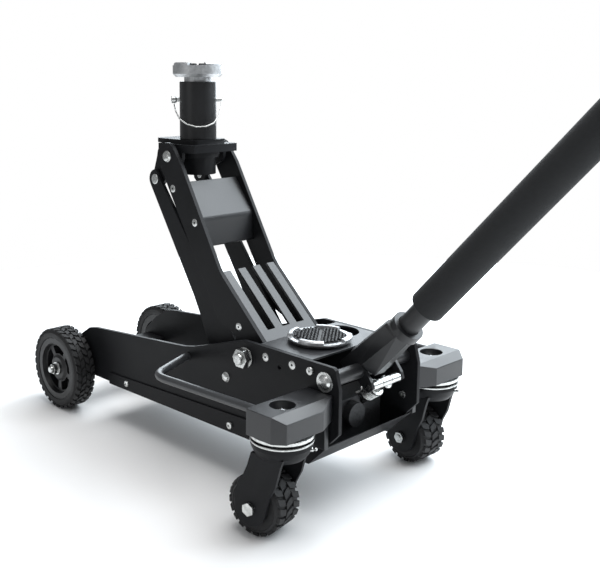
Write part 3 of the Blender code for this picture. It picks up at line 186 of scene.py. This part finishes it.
COAT = coat("powder_coat", (0.0075, 0.0078, 0.0088), (0.0115, 0.0120, 0.0135),
            0.38, 0.50, 0.18, 0.14)
# Lit copy of the same powder coat: its lighter base colour is painted sheen from the light above, used on the
# upward-facing parts.
COAT_PAINTED_SHEEN = coat("powder_coat_painted_sheen", (0.0100, 0.0108, 0.0125), (0.0150, 0.0160, 0.0185),
                0.36, 0.44, 0.22, 0.60)
COAT_SOCKET = coat("socket_coat", (0.0085, 0.0088, 0.0100), (0.0130, 0.0135, 0.0150),
                   0.30, 0.42, 0.15)
# Lighter copy of the powder coat for the carry bars: the brighter base colour is a painted highlight along the
# round bar.
BAR_COAT_PAINTED_SHEEN = coat("bar_coat_painted_sheen", (0.0280, 0.0295, 0.0320), (0.0400, 0.0420, 0.0450),
                0.30, 0.40, 0.12, 0.60)
POST_COAT = coat("post_coat", (0.0060, 0.0062, 0.0070), (0.0090, 0.0094, 0.0105), 0.26, 0.36, 0.10)
TUBE_COAT = coat("tube_coat", (0.0120, 0.0125, 0.0135), (0.0170, 0.0175, 0.0190), 0.38, 0.50, 0.15)
ZINC = metal("zinc_plate", (0.46, 0.47, 0.46), (0.74, 0.75, 0.74), 0.16, 0.32, 120.0, 0.12)
CAST = metal("cast_saddle", (0.42, 0.43, 0.44), (0.60, 0.61, 0.62), 0.30, 0.46, 160.0, 0.30, 0.92)
IRON = metal("dark_casting", (0.030, 0.031, 0.033), (0.055, 0.057, 0.060),
             0.42, 0.60, 200.0, 0.40, 0.6)
TYRE = rubber("tyre_rubber", (0.0085, 0.0085, 0.0092), (0.0155, 0.0155, 0.0165), 0.62, 700.0, 0.35)
PAD = rubber("pad_rubber", (0.010, 0.010, 0.011), (0.020, 0.021, 0.023), 0.55, 900.0, 0.30)
PLASTIC = rubber("hub_plastic", (0.0090, 0.0090, 0.0098), (0.0145, 0.0145, 0.0155),
                 0.40, 1200.0, 0.12)
FOAM = rubber("grip_foam", (0.0105, 0.0112, 0.0122), (0.0165, 0.0175, 0.0190), 0.80, 1600.0, 0.55)


# ------------------------------------------------------------------ mesh helpers
def piece(name, bm, mat, body, smooth_deg, bevel=0.0, segments=2, stands_for=()):
    """A finished piece: smooth shading, soft edges, its finish, its body."""
    bmesh.ops.recalc_face_normals(bm, faces=bm.faces)
    mesh = bpy.data.meshes.new(name)
    bm.to_mesh(mesh)
    bm.free()
    obj = bpy.data.objects.new(name, mesh)
    SCENE.objects.link(obj)
    mesh.materials.append(mat)
    mesh.shade_smooth()
    mesh.set_sharp_from_angle(angle=math.radians(smooth_deg))
    if bevel > 0.0:
        mod = obj.modifiers.new("soft_edges", "BEVEL")
        mod.width = bevel
        mod.segments = segments
        mod.limit_method = "ANGLE"
        mod.angle_limit = math.radians(BEVEL_FROM_DEG)
        mod.harden_normals = True
        mod.miter_outer = "MITER_ARC"
    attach(obj, body)
    if stands_for:
        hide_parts(*stands_for)
    return obj


def clean_copy(name):
    """The frame node's shape with its flat faces joined up again."""
    bm = bmesh.new()
    bm.from_mesh(frame["nodes"][name].data)
    bmesh.ops.remove_doubles(bm, verts=bm.verts, dist=JOIN_DIST)
    bmesh.ops.dissolve_limit(bm, angle_limit=math.radians(FLAT_DEG),
                             verts=bm.verts, edges=bm.edges)
    return bm


def dress(name, mat, bevel, segments, smooth_deg=32.0):
    """A frame node shown with softened edges and its finish."""
    body = frame["nodes"][name]["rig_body"]
    return piece(name + "_skin", clean_copy(name), mat, body, smooth_deg, bevel, segments, (name,))


def lathe(profile, segments, ring, bm, matrix):
    """Turns (radius, height) points about Z, into bm if one is given."""
    if bm is None:
        bm = bmesh.new()
    loops = []
    for r, h in profile:
        if r <= 0.0:
            loops.append([bm.verts.new(matrix @ Vector((0.0, 0.0, h)))])
        else:
            row = []
            for i in range(segments):
                t = 2.0 * math.pi * i / segments
                row.append(bm.verts.new(matrix @ Vector((r * math.cos(t), r * math.sin(t), h))))
            loops.append(row)
    pairs = list(zip(loops, loops[1:]))
    if ring:
        pairs.append((loops[-1], loops[0]))
    for low, high in pairs:
        for i in range(segments):
            j = (i + 1) % segments
            if len(low) == 1:
                bm.faces.new((low[0], high[i], high[j]))
            elif len(high) == 1:
                bm.faces.new((low[i], low[j], high[0]))
            else:
                bm.faces.new((low[i], low[j], high[j], high[i]))
    return bm


def hex_radius(flats, t):
    """Radius of a hexagon at an angle."""
    sector = math.pi / 3.0
    a = t % sector - sector / 2.0
    return 0.5 * flats / math.cos(a)


def socket_head(bm, matrix, r, h, flats, depth, dome):
    """A screw head with a hex socket, standing on Z = 0."""
    count = 24
    rows = []
    shape = [(r, 0.0, False), (r, h * 0.45, False), (r * 0.90, h * 0.85 + dome * 0.5, False),
             (flats * 0.62, h + dome, False), (flats, h + dome * 0.9, True),
             (flats, h - depth, True)]
    for radius, z, is_hex in shape:
        row = []
        for i in range(count):
            t = 2.0 * math.pi * i / count
            rr = hex_radius(radius, t) if is_hex else radius
            row.append(bm.verts.new(matrix @ Vector((rr * math.cos(t), rr * math.sin(t), z))))
        rows.append(row)
    for low, high in zip(rows, rows[1:]):
        for i in range(count):
            j = (i + 1) % count
            bm.faces.new((low[i], low[j], high[j], high[i]))
    bm.faces.new(rows[-1])
    bm.faces.new(list(reversed(rows[0])))
    return bm


def facing_y(x, y, z, side):
    """Places a +Z piece on a face that looks to +Y or -Y."""
    turn = Matrix.Rotation(math.radians(-90.0 * side), 4, "X")
    return Matrix.Translation((x + SHIFT_X, y, z)) @ turn


def tube(points, radius, sides):
    """A round wire along points, closed at both ends."""
    bm = bmesh.new()
    pts = [Vector(p) for p in points]
    normal = None
    rings = []
    count = len(pts)
    for i, p in enumerate(pts):
        a = pts[max(i - 1, 0)]
        b = pts[min(i + 1, count - 1)]
        t = (b - a).normalized()
        if normal is None:
            ref = Vector((0.0, 0.0, 1.0))
            if abs(t.z) > 0.9:
                ref = Vector((1.0, 0.0, 0.0))
            normal = t.cross(ref).normalized()
        normal = (normal - t * normal.dot(t)).normalized()
        side = t.cross(normal)
        row = []
        for k in range(sides):
            w = 2.0 * math.pi * k / sides
            row.append(bm.verts.new(p + normal * (radius * math.cos(w))
                                    + side * (radius * math.sin(w))))
        rings.append(row)
    for low, high in zip(rings, rings[1:]):
        for k in range(sides):
            j = (k + 1) % sides
            bm.faces.new((low[k], low[j], high[j], high[k]))
    bm.faces.new(rings[0])
    bm.faces.new(rings[-1])
    return bm


# ------------------------------------------------------------------ coated pieces
for name in ("side_plate_left", "side_plate_right", "arm_plate_left", "arm_plate_right",
             "lift_link_left", "lift_link_right", "skid_plate", "front_cross_plate"):
    dress(name, COAT, 0.0009, 2)
# The arm web, top cover, cross box and shoulders take the lit copy of the coat, with painted sheen in its base
# colour.
for name in ("arm_web", "top_cover"):
    dress(name, COAT_PAINTED_SHEEN, 0.0007, 2)
dress("arm_cross_box", COAT_PAINTED_SHEEN, 0.0010, 2, 25.0)
for name in ("shoulder_left", "shoulder_right"):
    dress(name, COAT_PAINTED_SHEEN, 0.0012, 3, 25.0)
# The carry bars take the coat with a painted highlight in its base colour.
for name in ("carry_bar_left", "carry_bar_right"):
    dress(name, BAR_COAT_PAINTED_SHEEN, 0.0, 1, 60.0)
dress("saddle_bracket", COAT, 0.0010, 2, 35.0)
dress("extension_post", POST_COAT, 0.0008, 2, 35.0)
dress("handle_yoke", COAT_SOCKET, 0.0010, 2, 30.0)
dress("handle_tube", TUBE_COAT, 0.0008, 2, 40.0)
dress("handle_foam", FOAM, 0.0015, 2, 40.0)
for name in ("caster_fork_left", "caster_fork_right"):
    dress(name, COAT, 0.0012, 2, 35.0)

# ------------------------------------------------------------------ plated and cast pieces
for name in ("front_axle", "arm_head_pin_left", "arm_head_pin_right", "link_head_pin_left",
             "link_head_pin_right", "link_pivot_bolt_left", "link_pivot_bolt_right",
             "handle_pivot_bolt_left", "handle_pivot_bolt_right", "caster_kingpin_left",
             "caster_kingpin_right", "caster_axle_bolt_left", "caster_axle_bolt_right",
             "caster_top_ring_left", "caster_top_ring_right", "front_axle_nut_left",
             "front_axle_nut_right", "arm_pivot_bolt", "arm_pivot_nut",
             "pump_plunger", "pump_cylinder", "ram_piston", "lock_pin"):
    dress(name, ZINC, 0.0005, 2, 38.0)
dress("lock_pin_hoop", ZINC, 0.0, 1, 60.0)
for name in ("saddle", "spare_saddle"):
    dress(name, CAST, 0.0010, 2, 32.0)
for name in ("pump_block", "ram_cylinder", "arm_lever"):
    dress(name, IRON, 0.0008, 2, 32.0)
for name in ("front_hub_left", "front_hub_right"):
    dress(name, PLASTIC, 0.0008, 2, 32.0)


# ------------------------------------------------------------------ tyres with block tread
# The tread, in parts of one pitch and of the tyre's half width.
BLOCK_HALF_PITCH = 0.35
BLOCK_SKEW = 0.20
BLOCK_KINK = 0.4
BLOCK_TAPER = 0.93
TREAD_EDGE = 0.92
GROOVE_HALF = 0.02
# How far a block's root sits inside the tyre, in metres.
BLOCK_ROOT = 0.0010


def block(bm, matrix, corners, r_in, r_out, chamfer):
    """One tread block: corners are (angle, y) on the tyre, from r_in out to r_out."""
    mid_t = sum(c[0] for c in corners) / len(corners)
    mid_y = sum(c[1] for c in corners) / len(corners)
    low = []
    high = []
    for t, y in corners:
        low.append(bm.verts.new(matrix @ Vector((r_in * math.cos(t), y, r_in * math.sin(t)))))
        tt = mid_t + (t - mid_t) * chamfer
        yy = mid_y + (y - mid_y) * chamfer
        high.append(bm.verts.new(matrix @ Vector((r_out * math.cos(tt), yy, r_out * math.sin(tt)))))
    count = len(corners)
    for i in range(count):
        j = (i + 1) % count
        bm.faces.new((low[i], low[j], high[j], high[i]))
    bm.faces.new(high)
    bm.faces.new(list(reversed(low)))


def tyre(name, body, centre, yaw, radius, half, bore, pitches, columns, depth, stands_for):
    """Solid tyre: plain sidewalls, a fine rib at the tread edge, staggered columns of blocks."""
    matrix = Matrix.Translation(centre) @ Matrix.Rotation(yaw, 4, "Z")
    lay = matrix @ Matrix.Rotation(math.radians(-90.0), 4, "X")
    base = radius - depth
    half_profile = [
        (bore, half - 0.0015),
        (bore + 0.0015, half - 0.0008),
        (base - 0.0072, half - 0.0008),
        (base - 0.0066, half),
        (base - 0.0054, half),
        (base - 0.0048, half - 0.0010),
        (base - 0.0014, half - 0.0036),
        (base, half - 0.0070),
    ]
    profile = [(r, -y) for r, y in half_profile] + list(reversed(half_profile))
    bm = lathe(profile, 96, True, None, lay)
    step = 2.0 * math.pi / pitches
    wide = step * BLOCK_HALF_PITCH
    span = 2.0 * TREAD_EDGE / columns
    for k in range(pitches):
        for column in range(columns):
            y0 = -TREAD_EDGE + span * column + GROOVE_HALF
            y1 = y0 + span - 2.0 * GROOVE_HALF
            skew = BLOCK_SKEW if column % 2 else -BLOCK_SKEW
            a = (k + (0.5 if column % 2 else 0.0)) * step
            mid = 0.5 * (y0 + y1)
            lean = skew * step
            block(bm, matrix, [(a - wide - lean, y0 * half), (a + wide - lean, y0 * half),
                               (a + wide + lean * BLOCK_KINK, mid * half), (a + wide + lean, y1 * half),
                               (a - wide + lean, y1 * half), (a - wide + lean * BLOCK_KINK, mid * half)],
                  base - BLOCK_ROOT, radius, BLOCK_TAPER)
    return piece(name, bm, TYRE, body, 28.0, 0.0003, 1, stands_for)


for tag in ("left", "right"):
    lo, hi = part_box("front_tyre_" + tag)
    mid = (lo + hi) * 0.5
    tyre("front_tyre_blocks_" + tag, "front_wheel_" + tag, mid, 0.0,
         (hi.z - lo.z) * 0.5, (hi.y - lo.y) * 0.5,
         0.066, 32, 4, 0.0032, ("front_tyre_" + tag,))
for tag, yaw in CASTER_YAWS:
    lo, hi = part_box("caster_wheel_" + tag)
    mid = (lo + hi) * 0.5
    tyre("caster_tyre_blocks_" + tag, "caster_roll_" + tag, mid, math.radians(yaw),
         (hi.z - lo.z) * 0.5, 0.0296,
         0.0063, 20, 3, 0.0035, ("caster_wheel_" + tag,))


# ------------------------------------------------------------------ saddle pads with pips
PIP_PITCH = 0.0068
PIP_HEIGHT = 0.0030
PIP_TURN_DEG = 38.0
PIP_TAPER = 0.72
PAD_MARGIN = 0.0030
PAD_GROOVE = 0.0026


def pad(name, body, node_name, groove_deg):
    """Rubber pad: thin disc with rows of raised pips and one straight groove."""
    lo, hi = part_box(node_name)
    centre = Vector(((lo.x + hi.x) * 0.5, (lo.y + hi.y) * 0.5, 0.0))
    radius = (hi.x - lo.x) * 0.5
    top = hi.z
    floor = top - PIP_HEIGHT
    place = Matrix.Translation(centre) @ Matrix.Rotation(math.radians(groove_deg), 4, "Z")
    bm = lathe([(0.0, lo.z), (radius, lo.z), (radius, floor - 0.0004),
                (radius - 0.0006, floor), (0.0, floor)], 64, False, None, place)
    rows = int(radius / PIP_PITCH) + 1
    for i in range(-rows, rows + 1):
        for j in range(-rows, rows + 1):
            cx = (i + (0.5 if j % 2 else 0.0)) * PIP_PITCH
            cy = j * PIP_PITCH * 0.86
            if math.hypot(cx, cy) > radius - PAD_MARGIN or abs(cy) < PAD_GROOVE:
                continue
            angle = math.radians(PIP_TURN_DEG if (i + j) % 2 else -PIP_TURN_DEG)
            a = PIP_PITCH * 0.43
            b = PIP_PITCH * 0.27
            low = []
            high = []
            for sx, sy in ((-1, -1), (1, -1), (1, 1), (-1, 1)):
                x = sx * a
                y = sy * b
                px = cx + x * math.cos(angle) - y * math.sin(angle)
                py = cy + x * math.sin(angle) + y * math.cos(angle)
                qx = cx + PIP_TAPER * (px - cx)
                qy = cy + PIP_TAPER * (py - cy)
                low.append(bm.verts.new(place @ Vector((px, py, floor - 0.0003))))
                high.append(bm.verts.new(place @ Vector((qx, qy, top))))
            for k in range(4):
                m = (k + 1) % 4
                bm.faces.new((low[k], low[m], high[m], high[k]))
            bm.faces.new(high)
            bm.faces.new(list(reversed(low)))
    return piece(name, bm, PAD, body, 30.0, 0.0, 1, (node_name,))


pad("saddle_pad_pips", "saddle_top", "saddle_pad", -42.8)
pad("spare_pad_pips", "spare_top", "spare_saddle_pad", -52.0)


# ------------------------------------------------------------------ small fasteners
# Screw heads: radius, height, half width of the socket, its depth, and the dome's extra height.
FLAT_SCREW = (0.0072, 0.0009, 0.0040, 0.0022, 0.0)
BUTTON_SCREW = (0.0070, 0.0034, 0.0038, 0.0022, 0.0006)
RAIL_SCREW = (0.0066, 0.0040, 0.0036, 0.0022, 0.0008)
INNER_SCREW = (0.0066, 0.0036, 0.0034, 0.0020, 0.0006)
PLATE_FACE = PLATE_OUT - SCREW_SINK


def fasteners(name, body, places, r, h, flats, depth, dome):
    """Screw heads on both outer faces of the plates."""
    bm = bmesh.new()
    for x, z, y in places:
        for side in (-1.0, 1.0):
            socket_head(bm, facing_y(x, side * y, z, side), r, h, flats, depth, dome)
    return piece(name, bm, ZINC, body, 40.0)


def arm_point(u, v):
    """X and Z of a point given along and across the arm."""
    return (ARM_PIVOT[0] + u * ARM_U[0] + v * ARM_V[0],
            ARM_PIVOT[1] + u * ARM_U[1] + v * ARM_V[1])


flat = []
for u, v in ((0.3533, -0.0243), (0.2694, -0.0094), (0.0602, -0.0201)):
    ax, az = arm_point(u, v)
    flat.append((ax, az, ARM_OUT - SCREW_SINK))
fasteners("arm_flat_screws", "arm", flat, *FLAT_SCREW)
fasteners("plate_flat_screws", "chassis",
          [(0.5775, 0.2362, PLATE_FACE), (0.6389, 0.2374, PLATE_FACE)], *FLAT_SCREW)
fasteners("plate_button_screws", "chassis", [(0.6794, 0.2381, PLATE_FACE)], *BUTTON_SCREW)
fasteners("rail_screws", "chassis",
          [(0.1880, 0.0888, 0.1086), (0.4940, 0.0928, 0.1086)], *RAIL_SCREW)


def grease_nipple(bm, matrix):
    """Small grease nipple standing on Z = 0."""
    lathe([(0.0, -0.001), (0.0032, -0.001), (0.0032, 0.0030), (0.0020, 0.0036), (0.0020, 0.0070), (0.0027, 0.0082),
           (0.0020, 0.0098), (0.0, 0.0102)], 14, False, bm, matrix)


for tag, yaw in CASTER_YAWS:
    lo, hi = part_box("caster_kingpin_" + tag)
    cx = (lo.x + hi.x) * 0.5
    cy = (lo.y + hi.y) * 0.5
    bm = bmesh.new()
    spin = Matrix.Rotation(math.radians(yaw + 12.0), 4, "Z")
    grease_nipple(bm, Matrix.Translation((cx, cy, 0.1475)) @ spin @ Matrix.Translation((0.0470, 0.0, 0.0))
                  @ Matrix.Rotation(math.radians(75.0), 4, "Y"))
    piece("grease_nipple_" + tag, bm, ZINC, "caster_yoke_" + tag, 40.0)
    race = lathe([(0.0482, 0.1566), (0.0494, 0.1566), (0.0499, 0.1574), (0.0499, 0.1590), (0.0494, 0.1597),
                  (0.0482, 0.1597)], 64, True, None, Matrix.Translation((cx, cy, 0.0)))
    piece("caster_race_" + tag, race, ZINC, "caster_yoke_" + tag, 40.0)


# ------------------------------------------------------------------ pump end
lo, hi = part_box("pump_roller")
roller_mid = (lo + hi) * 0.5
pin_half = (hi.y - lo.y) * 0.5
half_roller = [(0.0, pin_half), (0.0042, pin_half), (0.0042, 0.0355), (0.0072, 0.0355),
               (0.0078, 0.0348), (0.0078, 0.0132), (0.0070, 0.0124), (0.0058, 0.0124),
               (0.0058, 0.0112), (0.0070, 0.0112), (0.0078, 0.0104)]
roll = lathe([(r, -y) for r, y in half_roller] + half_roller[::-1], 32, False, None,
             Matrix.Translation(roller_mid) @ Matrix.Rotation(math.radians(-90.0), 4, "X"))
piece("pump_roller_segments", roll, ZINC, "handle", 40.0, 0.0, 1, ("pump_roller",))

PUMP_TILT = math.radians(36.7)
PUMP_DIR = Vector((math.cos(PUMP_TILT), 0.0, math.sin(PUMP_TILT)))
PUMP_UP = Vector((-PUMP_DIR.z, 0.0, PUMP_DIR.x))
PUMP_TOP = Vector((roller_mid.x, 0.034, roller_mid.z))
SPRING_START = 0.0412
SPRING_LENGTH = 0.0200
SPRING_R = 0.0136
SPRING_WIRE_R = 0.0012
SPRING_TURNS = 5.0
SPRING_STEPS = 120
coil = []
for i in range(SPRING_STEPS + 1):
    t = i / SPRING_STEPS
    w = 2.0 * math.pi * SPRING_TURNS * t
    place = PUMP_TOP - PUMP_DIR * (SPRING_START + SPRING_LENGTH * t)
    coil.append(place + PUMP_UP * (SPRING_R * math.cos(w))
                + Vector((0.0, SPRING_R * math.sin(w), 0.0)))
piece("pump_spring", tube(coil, SPRING_WIRE_R, 8), ZINC, "chassis", 60.0)

inner_screw = socket_head(bmesh.new(), facing_y(0.7101, 0.0977, 0.1571, -1.0), *INNER_SCREW)
piece("plate_inner_screw", inner_screw, ZINC, "chassis", 40.0)


# ------------------------------------------------------------------ camera and light
def aim(obj, target):
    """Turns an object's -Z towards a point."""
    direction = Vector(target) - obj.location
    obj.rotation_euler = direction.to_track_quat("-Z", "Y").to_euler()


cam_data = bpy.data.cameras.new("view_camera")
cam = bpy.data.objects.new("view_camera", cam_data)
SCENE.objects.link(cam)
CAMERA_DOWN_DEG = 8.21
CAMERA_TURN_DEG = 47.24
cam.location = (1.6078 + SHIFT_X, -1.1275, 0.7091)
cam.rotation_euler = (math.radians(90.0 - CAMERA_DOWN_DEG), 0.0, math.radians(CAMERA_TURN_DEG))
cam_data.lens = 53.99
cam_data.sensor_width = 36.0
cam_data.shift_x = 0.1085
cam_data.shift_y = -0.1385
cam_data.clip_start = 0.05
bpy.context.scene.camera = cam

FLOOR_R = 2.0
FLOOR_Z = -0.0005
FLOOR_STEPS = 48
floor_bm = bmesh.new()
floor_turns = [k * math.pi / FLOOR_STEPS for k in range(2 * FLOOR_STEPS)]
floor_bm.faces.new([floor_bm.verts.new((FLOOR_R * math.cos(t), FLOOR_R * math.sin(t), FLOOR_Z))
                    for t in floor_turns])
floor_mesh = bpy.data.meshes.new("studio_floor")
floor_bm.to_mesh(floor_mesh)
floor_bm.free()
floor = bpy.data.objects.new("studio_floor", floor_mesh)
SCENE.objects.link(floor)
floor_mat = bpy.data.materials.new("studio_floor_paint")
floor_mat.use_nodes = True
floor_shader = floor_mat.node_tree.nodes["Principled BSDF"]
floor_shader.inputs["Base Color"].default_value = (0.90, 0.90, 0.90, 1.0)
floor_shader.inputs["Roughness"].default_value = 0.9
floor_shader.inputs["Specular IOR Level"].default_value = 0.1
floor_mesh.materials.append(floor_mat)

world = bpy.data.worlds.new("studio")
bpy.context.scene.world = world
world.use_nodes = True
sky = world.node_tree
fill = sky.nodes["Background"]
fill.inputs["Color"].default_value = (0.96, 0.98, 1.0, 1.0)
fill.inputs["Strength"].default_value = 0.32
sweep = sky.nodes.new("ShaderNodeBackground")
sweep.inputs["Color"].default_value = (1.0, 1.0, 1.0, 1.0)
sweep.inputs["Strength"].default_value = 1.0
ray = sky.nodes.new("ShaderNodeLightPath")
pick = sky.nodes.new("ShaderNodeMixShader")
sky.links.new(ray.outputs["Is Camera Ray"], pick.inputs["Fac"])
sky.links.new(fill.outputs["Background"], pick.inputs[1])
sky.links.new(sweep.outputs["Background"], pick.inputs[2])
sky.links.new(pick.outputs["Shader"], sky.nodes["World Output"].inputs["Surface"])


def softbox(name, place, target, size, power, shape_y=None, tint=(1.0, 1.0, 1.0)):
    """A soft area light."""
    data = bpy.data.lights.new(name, "AREA")
    data.energy = power
    data.color = tint
    data.shape = "RECTANGLE"
    data.size = size
    data.size_y = shape_y or size
    lamp = bpy.data.objects.new(name, data)
    SCENE.objects.link(lamp)
    lamp.location = place
    lamp.visible_camera = False
    aim(lamp, target)


softbox("top_box", (0.2, 0.4, 2.8), (0.0, 0.0, 0.3), 2.4, 78.0)
softbox("left_box", (-0.6, -2.2, 1.3), (-0.1, 0.0, 0.3), 1.2, 4.0, 1.6)
softbox("back_box", (0.5, 2.1, 2.0), (0.0, 0.0, 0.3), 3.2, 125.0, 2.4, (0.86, 0.94, 1.0))
softbox("far_box", (-1.9, 2.3, 1.2), (0.0, 0.0, 0.25), 3.0, 60.0, 1.4, (0.86, 0.94, 1.0))

bpy.context.scene.view_settings.view_transform = "Standard"
bpy.context.scene.view_settings.look = "None"
